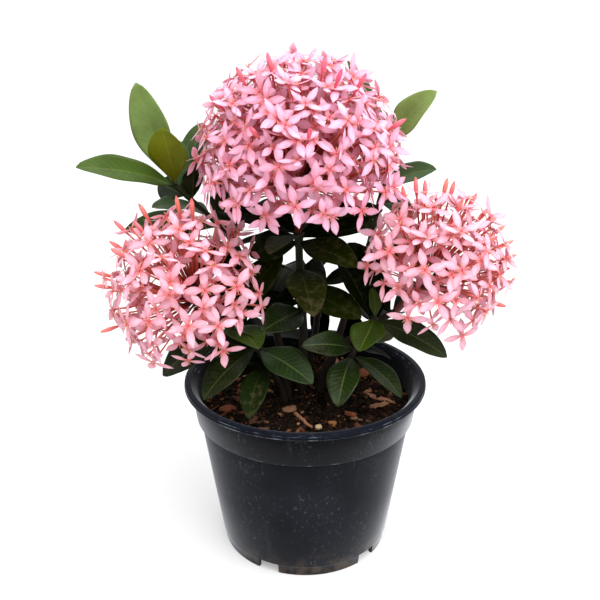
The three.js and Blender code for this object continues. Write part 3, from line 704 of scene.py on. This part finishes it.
def route_point(route, part):
    """The point at a part of a stem's route (a centripetal Catmull-Rom curve through its knots)."""
    knots = [Vector(knot) for knot in route]
    knots = [2 * knots[0] - knots[1], *knots, 2 * knots[-1] - knots[-2]]
    whole = min(int(part * (len(route) - 1)), len(route) - 2)
    t = part * (len(route) - 1) - whole
    a, b, c, d = knots[whole:whole + 4]
    before, between, after = [(q - p).length ** 0.5 for p, q in ((a, b), (b, c), (c, d))]
    leave = ((b - a) / before - (c - a) / (before + between) + (c - b) / between) * between
    arrive = ((c - b) / between - (d - b) / (between + after) + (d - c) / after) * between
    bend = (3 * (c - b) - 2 * leave - arrive) * t ** 2
    return b + leave * t + bend + (2 * (b - c) + leave + arrive) * t ** 3


def part_at_height(route, height):
    """How far along its route a stem reaches a height."""
    part, step = 0.0, 0.5
    for _ in range(24):
        if route_point(route, part + step).z < height:
            part += step
        step /= 2
    return part


def grow_rods(name, rods, resolution=1):
    """Round rods through lists of (point, radius), as one mesh."""
    path = add(bpy.ops.curve.primitive_nurbs_path_add)
    path.name = name
    path.data.splines.clear()
    for rod in rods:
        line = path.data.splines.new("POLY")
        line.points.add(len(rod) - 1)
        for knot, (place, radius) in zip(line.points, rod):
            knot.co = (*(Vector(place) * MM), 1)
            knot.radius = radius * MM
    path.data.dimensions = "3D"
    path.data.twist_mode = "MINIMUM"
    path.data.bevel_depth = 1
    path.data.bevel_resolution = resolution
    path.data.use_fill_caps = True
    bpy.ops.object.convert(target="MESH")
    bpy.ops.object.shade_smooth()
    return bpy.context.object


def half_width(part, fullness):
    """Half of a leaf's width at each part of its length, as a share of its full width."""
    swell = np.sin(math.pi * np.clip(part, 0.002, 0.998) ** fullness)
    return 0.5 * swell ** (1.15 - 0.55 * part)


def thick_square(columns, rows, back_slot):
    """A square from -1 to 1, cut into a grid, whose back lies 1 below its face."""
    grid = {"x_subdivisions": columns, "y_subdivisions": rows, "size": 2}
    square = add(bpy.ops.mesh.primitive_grid_add, **grid)
    thicken = square.modifiers.new("thicken", "SOLIDIFY")
    thicken.thickness = 1
    thicken.offset = -1
    thicken.material_offset = back_slot
    apply_modifiers(square)
    return square


leaf = thick_square(LEAF_COLUMNS, LEAF_ROWS, 1)
bpy.ops.object.shade_smooth()
leaf_places = corners(leaf)


def leaf_lie(base, tip, turn):
    """A leaf's length, the way it points and the way its face looks."""
    length = (tip - base).length
    along = (tip - base) / length
    face = (UP - along * along.z).normalized()
    face.rotate(Quaternion(along, math.radians(turn)))
    return length, along, face


def lay_leaf(base, tip, width, turn, rise, fullness, whim):
    """Bends a copy of the flat leaf from its base to its tip, folded along its rib and arched."""
    length, along, face = leaf_lie(base, tip, turn)
    side = face.cross(along)
    across = leaf_places[:, 0]
    part = (leaf_places[:, 1] + 1) / 2
    under = leaf_places[:, 2] < -0.5
    reach = half_width(part, fullness) * width
    sway = whim.uniform(-LEAF_SWAY, LEAF_SWAY) * length * np.sin(math.pi * part)
    droop = whim.uniform(-0.01, LEAF_DROOP) * length * part ** 4
    wave = whim.uniform(0.3, 0.8) * np.sin(whim.uniform(9, 15) * part + whim.uniform(0, 6)) * across ** 2
    wave *= np.sin(math.pi * part) * np.where(across > 0, 1, -1)
    arch = rise * length * part * (1 - part)
    lift = arch + 2 * LEAF_FOLD * reach * np.abs(across) ** 1.35 + wave - droop
    rib = np.clip(1 - np.abs(across) * 4, 0, 1) * (1 - 0.8 * part)
    back = -LEAF_THICKNESS * (1 - 0.6 * np.abs(across)) - LEAF_RIB * rib
    lift += np.where(under, back, -0.15 * rib)
    places = np.outer(length * part, along) + np.outer(lift, face) + np.outer(reach * across + sway, side)
    return copy_of(leaf, (places + np.array(base)) * MM)


def leaf_stalk(base, tip, turn, rise):
    """A leaf's stalk: points and radii along the first part of its rib."""
    length, along, face = leaf_lie(base, tip, turn)
    stalk = []
    for step in range(4):
        part = STALK_SHARE * step / 3
        lift = rise * length * part * (1 - part) - 0.4
        stalk.append((base + along * length * part + face * lift, STALK_RADIUS - 0.2 * step))
    return stalk


def leaf_finish(name, roughness, gloss, rib_shade, is_back=False):
    """Leaf skin over the leaf's own map: rib and side veins, mottling, and marks of age."""
    skin = Finish(name, roughness, gloss)
    spread = skin.node("ShaderNodeUVMap", {}, uv_map="UVMap")
    where = skin.place()
    along = skin.axis(spread, "Y")
    off_rib = skin.calc("ABSOLUTE", skin.calc("SUBTRACT", skin.axis(spread, "X"), 0.5))
    off_rib = skin.times(off_rib, 2.0)
    rib = skin.step(off_rib, 0.07, 0.015)
    wander = skin.times(skin.noise(where, 90, 2), VEIN_WANDER)
    slant = skin.times(skin.calc("POWER", off_rib, 0.8), VEIN_SLANT)
    order = skin.calc("ADD", skin.calc("ADD", skin.times(along, VEIN_COUNT), slant), wander)
    from_vein = skin.calc("ABSOLUTE", skin.calc("SUBTRACT", skin.calc("FRACT", order), 0.5))
    veins = skin.times(skin.step(from_vein, 0.13, 0.02), skin.step(off_rib, 1.0, 0.6))
    skin.paint_as_tinted(skin.ramp(skin.noise(where, 75, 4), 0.3, 0.7, 0.78, 1.22))
    skin.over(veins, 0.04, rib_shade)
    skin.over(skin.step(off_rib, 0.93, 1.0), 0.08, rib_shade)
    dusty = skin.calc("ADD", skin.noise(where, 240, 5), skin.times(along, 0.12))
    marks = skin.times(skin.step(dusty, 0.56, 0.72), skin.reading("age", "Fac"))
    skin.over(marks, 0.36, AGE_BROWN)
    skin.over(rib, 0.17, rib_shade)
    if is_back:
        skin.paint(skin.mix(0.15, skin.colour, rib_shade))
    relief = skin.calc("SUBTRACT", skin.times(skin.noise(where, 520, 3), 0.25), skin.times(veins, 0.3))
    skin.bump(relief, 0.0003, 0.7)
    return skin


leaf_skins = (
    leaf_finish("leaf_face", 0.36, 0.13, (132, 150, 84)),
    leaf_finish("leaf_back", 0.6, 0.1, (112, 128, 66), is_back=True))
old_leaf_skins = (
    leaf_finish("old_leaf_face", 0.45, 0.02, (74, 88, 38)),
    leaf_finish("old_leaf_back", 0.7, 0.02, (60, 70, 34), is_back=True))

# The bark is brown below 14 cm and green above 20 cm.
rind = Finish("stem_bark", 0.7, 0.2)
where = rind.place()
streaks = rind.streaks(where, (600, 600, 120), 4)
lower = rind.mix(streaks, OLD_WOOD, OLD_WOOD_PALE)
upper = rind.mix(streaks, GREEN_WOOD, GREEN_WOOD_PALE)
is_young = rind.step(rind.axis(where, "Z"), 0.14, 0.2)
rind.paint(rind.mix(is_young, lower, upper))
rind.bump(streaks, 0.0004)

for stem_name, (route, (thick, thin), leaves) in STEMS.items():
    joints = [part_at_height(route, height) for height, *_ in leaves]
    rod = [((route[0][0], route[0][1], SOIL_LEVEL - STEM_DEPTH), thick)]
    for k in range(STEM_STEPS + 1):
        part = k / STEM_STEPS
        swell = max([math.exp(-((part - joint) / JOINT_LENGTH) ** 2) for joint in joints])
        radius = (thick + (thin - thick) * part) * (1 + JOINT_SWELL * swell)
        rod.append((route_point(route, part), radius))
    rods = [rod]
    blades = []
    whims = random.Random(stem_name)
    for joint, (_, x, y, z, width, turn, tone, *own) in zip(joints, leaves):
        rise, fullness = own + [LEAF_ARCH, LEAF_FULLNESS][len(own):]
        base = route_point(route, joint)
        tip = Vector((x, y, z))
        blade = lay_leaf(base, tip, width, turn, rise, fullness, whims)
        shade, age = LEAF_TONES[tone]
        level = whims.uniform(0.9, 1.12)
        tint(blade, [channel * level for channel in linear(*shade)[:3]] + [1.0])
        marks = blade.data.attributes.new("age", "FLOAT", "POINT")
        marks.data.foreach_set("value", [age] * len(blade.data.vertices))
        for skin in old_leaf_skins if tone in DULL_TONES else leaf_skins:
            blade.data.materials.append(skin.material)
        blades.append(blade)
        rods.append(leaf_stalk(base, tip, turn, rise))
    wood = grow_rods(stem_name + "_wood", rods)
    wood.data.materials.clear()
    wood.data.materials.append(rind.material)
    foliage = join_pieces(blades, stem_name + "_leaves")
    for piece in (wood, foliage):
        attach(piece, "root")
        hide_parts(stem_name)
discard(leaf)

# --------------------
# Flower heads: each is a dome of small four-petalled florets on long thin red tubes, which grow
# from short branching stalks at its middle. Slim coral buds stand out between the open florets.
PETAL_LENGTH = 11.6
PETAL_WIDTH = 4.6
PETAL_THICKNESS = 0.3
PETAL_CROWN = 0.24
PETAL_COUNT = 4
PETAL_COLUMNS = 2
PETAL_ROWS = 5
THROAT_RADIUS = 0.95
TUBE_SIDES = 5
STAMEN_LENGTH, STYLE_LENGTH = 3.2, 2.6
STAMEN_TAN, STYLE_PINK = (206, 150, 112), (228, 124, 124)
BUD_LENGTH = 12.5
BUD_RADIUS = 1.45
BUD_SIDES = 6
# How far florets lean off their tubes, in radians: outer ones, inner ones, and any at most.
TILT, INNER_TILT, MOST_TILT = 0.34, 0.6, 0.9
GOLDEN_ANGLE = math.pi * (3 - math.sqrt(5))
CORE_SINK = 3
LAYER_STEP = 2.2
SEAT_SCATTER = 1.5
TURN_SCATTER = 0.12
# Stalks fork at this share of their length, and a main branch carries about seven of them.
FORK_SHARE = 0.55
STALKS_A_BRANCH, LEAST_BRANCHES = 7, 8
STALK_SHADES = (70, 28, 22), (128, 52, 38)
PETAL_VEIN = (255, 226, 240)
# A head's seed, dome centre and radius, axis, spread in degrees, hub, radius of the stalks about the
# hub, layers of florets (count, depth below the dome, own turn), how blue its petals are, the shade of
# its buds, and their tips.
HEADS = {
    "flower_head_top": dict(
        stem="stem_centre", seed=28, centre=(-4, 0, 246), dome=56, axis=(0, -0.25, 1), spread=103,
        hub=(-4, 2, 230), core=19, layers=[(75, 0, 0), (102, 1.5, 10), (94, 8, 20), (56, 16, 30)],
        blue=1.04, bud_shade=(0.96, 0.76, 1.25),
        buds=[(10, -31, 306), (18, -37, 300), (31, -29, 297), (53, -24, 273), (-36, -28, 300),
              (-50, -30, 286), (-20, -25, 307), (2, -61, 274), (-28, -56, 274)]),
    "flower_head_left": dict(
        stem="stem_left", seed=216, centre=(-69, -20, 175), dome=43, axis=(-0.35, -0.55, 0.75), spread=112,
        hub=(-63, -14, 167), core=15, layers=[(42, 0, 0), (34, 1, 10), (28, 7, 20), (16, 14, 30)],
        blue=0.93, bud_shade=(1, 1, 1),
        buds=[(-95, -8, 223), (-110, -8, 213), (-72, -18, 230), (-62, -28, 231), (-114, -6, 200),
              (-121, -20, 186), (-122, -18, 177), (-119, -26, 151), (-95, -26, 218), (-104, -46, 208)]),
    "flower_head_right": dict(
        stem="stem_right", seed=416, centre=(74.2, -20, 189.2), dome=40, axis=(0.33, -0.4, 0.86), spread=112,
        hub=(68.5, -14, 177), core=15, layers=[(40, 0, 0), (34, 3, 10), (28, 8, 20), (14, 14, 30)],
        blue=0.93, bud_shade=(1, 1, 1),
        buds=[(53, -20, 236), (60, -20, 241), (67, -10, 237), (78, -18, 240), (84, -8, 236), (97, -8, 229),
              (84, -34, 232), (106, 0, 218), (112, 0, 214), (117, 0, 208), (104, -36, 212),
              (123, 2, 198), (124, -4, 191), (115, -26, 167), (113, -34, 193)]),
}
PETAL_PAINT = [(0.0, (222, 92, 104)), (0.16, (231, 133, 153)), (0.5, (237, 168, 192)), (1.0, (240, 177, 201))]
BACK_PAINT = [(0.0, (220, 94, 102)), (0.4, (230, 137, 159)), (1.0, (237, 158, 181))]
# Tubes are darker toward the root: partly their own red-brown, partly painted shade deep in the head.
TUBE_PAINT = [(0.0, (150, 56, 44)), (0.45, (206, 92, 74)), (0.9, (238, 140, 126)), (1.0, (224, 84, 78))]
BUD_PAINT = [(0.0, (200, 84, 74)), (0.3, (218, 106, 97)), (0.8, (228, 131, 124)), (1.0, (214, 86, 84))]


def draw(index, salt):
    """A repeatable draw from 0 to 1 for an item; `salt` tells its draws apart."""
    wave = math.sin(index * 12.9898 + salt * 78.233) * 43758.5453
    return wave - math.floor(wave)


def paint_along(parts, stops):
    """One linear colour for each part of a length, between painted stops."""
    marks = [mark for mark, _ in stops]
    shades = np.array([linear(*shade) for _, shade in stops])
    return np.stack([np.interp(parts, marks, shades[:, channel]) for channel in range(4)], 1)


def cross_axes(aim, spin):
    """Two directions square to `aim`, turned about it by `spin`."""
    helper = UP if abs(aim.z) < 0.9 else Vector((1, 0, 0))
    side = helper.cross(aim).normalized()
    front = aim.cross(side)
    u = side * math.cos(spin) + front * math.sin(spin)
    return u, aim.cross(u)


# The petal: a small grid, drawn out to a pointed oval, crowned along its middle and closed below.
petal = thick_square(PETAL_COLUMNS, PETAL_ROWS, 0)
flat = corners(petal)
part = (flat[:, 1] + 1) / 2
is_back = flat[:, 2] < -0.5
oval = np.sin(math.pi * np.clip(part, 0, 0.985) ** 1.08) ** 0.85
swell = np.maximum(oval, 0.28 * (1 - part) ** 2 + 0.03)
crown = PETAL_CROWN * (1 - flat[:, 0] ** 2) * np.sin(math.pi * np.clip(part, 0.1, 1))
body = np.where(is_back, -PETAL_THICKNESS * (1 - np.abs(flat[:, 0])) * (1 - part ** 3), 0)
petal_places = np.stack([
    0.5 + part * (PETAL_LENGTH - 0.5), flat[:, 0] * swell * PETAL_WIDTH / 2, 0.3 + crown + body], 1)
move_corners(petal, petal_places)
petal_paint = np.where(is_back[:, None], paint_along(part, BACK_PAINT), paint_along(part, PETAL_PAINT))
petal_paint[:, 1:3] *= 1.08 - 0.15 * flat[:, :1] ** 2
tint(petal, petal_paint)
start_edit()
close_and_end_edit(0.0001)
smooth(petal, 30)


def slim_rod(sides, stations):
    """A round rod, one unit long, up to the origin: a cylinder in rings, each with its own girth."""
    cylinder = {"vertices": sides, "radius": 1, "depth": 1, "location": (0, 0, -0.5)}
    rod = add(bpy.ops.mesh.primitive_cylinder_add, **cylinder)
    bpy.ops.object.transform_apply()
    start_edit()
    for level, _ in stations[1:-1]:
        bpy.ops.mesh.select_all(action="SELECT")
        bpy.ops.mesh.bisect(plane_co=(0, 0, level), plane_no=(0, 0, 1))
    end_edit()
    bpy.ops.object.shade_smooth()
    places = corners(rod)
    levels, girths = zip(*stations)
    places[:, :2] *= np.interp(places[:, 2], levels, girths)[:, None]
    move_corners(rod, places)
    return rod


# The tube below the petals, with a flared throat.
tube = slim_rod(TUBE_SIDES, [(-1, 0.45), (-0.6, 0.48), (-0.08, 0.55), (0, THROAT_RADIUS)])
tint(tube, paint_along(corners(tube)[:, 2] + 1, TUBE_PAINT))

# A stamen: a thread that swells into a slim anther. The style is a copy of it.
stamen = slim_rod(3, [(-1, 0.14), (-0.4, 0.34), (0, 0.08)])
stamen_places = corners(stamen)


def set_stamen(place, aim, length, colour):
    """A copy of the stamen that starts at a place and points along its aim."""
    turn = np.array(aim.normalized().to_track_quat("Z", "Y").to_matrix())
    drawn_out = (stamen_places + [0, 0, 1]) * [1, 1, length]
    made = copy_of(stamen, drawn_out @ turn.T + np.array(place))
    tint(made, linear(*colour))
    return made


# The floret: a tube, four petals, four stamens between them and a style.
tube_points = len(tube.data.vertices)
petal_points = len(petal.data.vertices)
parts = [tube]
for k in range(PETAL_COUNT):
    parts.append(copy_of(petal))
    parts[-1].data.transform(Matrix.Rotation(k * math.pi / 2, 4, "Z"))
discard(petal)
for k in range(PETAL_COUNT):
    angle = (k + 0.5) * math.pi / 2
    out = Vector((math.cos(angle), math.sin(angle), 0))
    foot, aim = out * 0.8 + Vector((0, 0, 0.3)), out + Vector((0, 0, 0.35))
    parts.append(set_stamen(foot, aim, STAMEN_LENGTH, STAMEN_TAN))
parts.append(set_stamen(Vector(), UP, STYLE_LENGTH, STYLE_PINK))
discard(stamen)
floret = join_pieces(parts, "floret")
floret_places = corners(floret)
floret_paint = np.empty(4 * len(floret_places), np.float32)
floret.data.attributes["tint"].data.foreach_get("color", floret_paint)
floret_paint = floret_paint.reshape(-1, 4)
order = np.arange(len(floret_places))
is_tube = order < tube_points
petal_of = (order - tube_points) // petal_points
spread_out = np.hypot(floret_places[:, 0], floret_places[:, 1]) / PETAL_LENGTH


def set_floret(seat, root, spin, size, tilt, shade, whim):
    """A floret at its seat, its tube drawn out to its root and each petal curled its own way."""
    aim = (seat - root).normalized()
    u, v = cross_axes(aim, spin)
    reach = (seat - root).length
    places = floret_places.copy()
    curl = whim.uniform(-0.3, 0.35) - 0.3 * max(0, aim.z - 0.4)
    for k in range(PETAL_COUNT):
        own = petal_of == k
        bend = (curl + whim.uniform(-0.12, 0.12)) * PETAL_LENGTH
        places[own, 2] -= bend * spread_out[own] ** 1.6
    tilt = min(MOST_TILT, max(-MOST_TILT, whim.gauss(0, tilt)))
    lean = Quaternion((math.cos(spin), math.sin(spin), 0), tilt).to_matrix()
    places[~is_tube] = places[~is_tube] @ np.array(lean).T
    places[:, :2] *= np.where(is_tube, 1, size)[:, None]
    bow = whim.uniform(-0.05, 0.05) * reach * np.sin(-math.pi * places[:, 2])
    places[:, 0] += np.where(is_tube, bow, 0)
    places[:, 2] *= np.where(is_tube, reach, size)
    made = copy_of(floret, (places @ np.array([u, v, aim]) + np.array(seat)) * MM)
    level = whim.uniform(0.9, 1.08)
    flush = whim.uniform(0.92, 1.08)
    red, green, blue = shade
    tint(made, floret_paint * [level * red, level * flush * green, level * flush * blue, 1])
    return made


# The bud, with a short piece of its tube below it.
bud = slim_rod(BUD_SIDES, [
    (-1, 0.5), (-0.97, 0.55), (-0.75, 1.0), (-0.45, BUD_RADIUS), (-0.2, 1.2), (-0.06, 0.6), (0, 0.12)])
bud_places = corners(bud)


def set_bud(tip, root, shade, whim):
    """A bud that ends at its tip, with its thin tube drawn out to its root."""
    aim = (tip - root).normalized()
    u, v = cross_axes(aim, whim.uniform(0, math.pi))
    places = bud_places.copy()
    part = bud_places[:, 2]
    places[:, 2] = np.where(part < -0.98, -(tip - root).length, part * BUD_LENGTH)
    made = copy_of(bud, (places @ np.array([u, v, aim]) + np.array(tip)) * MM)
    red, green, blue = shade
    own = [red, green * whim.uniform(0.85, 1.1), blue * whim.uniform(0.85, 1.1), 1]
    tint(made, paint_along(1 + part, BUD_PAINT) * own)
    return made


def head_seat(head, k, count, depth, salt):
    """Where floret k of a layer sits: by turns of the golden angle, a little scattered."""
    axis = Vector(head["axis"]).normalized()
    u, v = cross_axes(axis, 0)
    number = head["seed"] + k
    lowest = math.cos(math.radians(head["spread"] - 0.25 * depth))
    down, around, out = [draw(number, salt + part) - 0.5 for part in (1, 2, 3)]
    rise = 1 - ((k + 0.5 + 0.5 * down) / count) * (1 - lowest)
    bearing = head["seed"] + k * GOLDEN_ANGLE + TURN_SCATTER * around + salt
    flat = math.sqrt(1 - rise * rise)
    radius = head["dome"] - depth + LAYER_STEP * ((k % 3) - 1) + SEAT_SCATTER * out
    way = axis * rise + u * (flat * math.cos(bearing)) + v * (flat * math.sin(bearing))
    return Vector(head["centre"]) + way * radius


pink = Finish("petal_skin", 0.55, 0.15)
pink.set("Subsurface Weight", 0.3)
pink.set("Subsurface Radius", (0.004, 0.0015, 0.0015))
pink.set("Subsurface Scale", 1.0)
where = pink.place()
pink.paint_as_tinted(pink.ramp(pink.noise(where, 260, 3), 0, 1, 0.88, 1.12))
spread = pink.node("ShaderNodeUVMap", {}, uv_map="UVMap")
streaks = pink.streaks(spread, (16, 1.6, 1), 2)
pink.over(pink.step(streaks, 0.5, 0.7), 0.12, PETAL_VEIN)
pink.bump(pink.calc("ADD", pink.noise(where, 1400, 2), streaks), 0.00012, 0.4)

stalk_skin = Finish("stalk_skin", 0.6)
streaks = stalk_skin.noise(stalk_skin.place(), 300, 3)
stalk_skin.paint(stalk_skin.mix(streaks, *STALK_SHADES))
stalk_skin.bump(streaks, 0.0003)

for head_name, head in HEADS.items():
    hub = Vector(head["hub"])
    whims = random.Random(head_name)
    stub = head["core"] - CORE_SINK
    made = []
    roots = []
    for count, depth, salt in head["layers"]:
        # Deeper florets are painted dimmer and redder: painted shade for the shade deep inside the head.
        shade = (1 - 0.008 * depth, 1 - 0.024 * depth, (1 - 0.022 * depth) * head["blue"])
        for k in range(count):
            seat = head_seat(head, k, count, depth, salt)
            root = hub + (seat - hub).normalized() * stub
            if depth == 0:
                number = head["seed"] + k
                spin, size, tilt = math.tau * draw(number, 4), 0.94 + 0.12 * draw(number, 5), TILT
            else:
                spin, size, tilt = whims.uniform(0, math.pi), whims.uniform(0.84, 1), INNER_TILT
            made.append(set_floret(seat, root, spin, size, tilt, shade, whims))
            roots.append(root)
    florets = join_pieces(made, head_name + "_florets")
    buds = []
    for tip in map(Vector, head["buds"]):
        root = hub + (tip - hub).normalized() * stub
        buds.append(set_bud(tip, root, head["bud_shade"], whims))
        roots.append(root)
    buds = join_pieces(buds, head_name + "_buds")
    route, (_, thin), _ = STEMS[head["stem"]]
    top = route_point(route, 1)
    rods = [[(top, thin), (top.lerp(hub, 0.5), thin * 0.9), (hub, thin * 0.8)]]
    ways = [(root - hub).normalized() for root in roots]
    branches = ways[::len(ways) // max(LEAST_BRANCHES, len(ways) // STALKS_A_BRANCH)]
    for branch in branches:
        rods.append([(hub, 1.2), (hub + branch * stub * FORK_SHARE, 0.9)])
    for root, way in zip(roots, ways):
        fork = hub + max(branches, key=way.dot) * stub * FORK_SHARE
        rods.append([(fork, 0.75), (root.lerp(fork, 0.4), 0.6), (root, 0.62)])
    stalks = grow_rods(head_name + "_stalks", rods, 0)
    for piece, skin in ((florets, pink), (buds, pink), (stalks, stalk_skin)):
        piece.data.materials.clear()
        piece.data.materials.append(skin.material)
        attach(piece, "root")
        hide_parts(head_name)
discard(floret)
discard(bud)
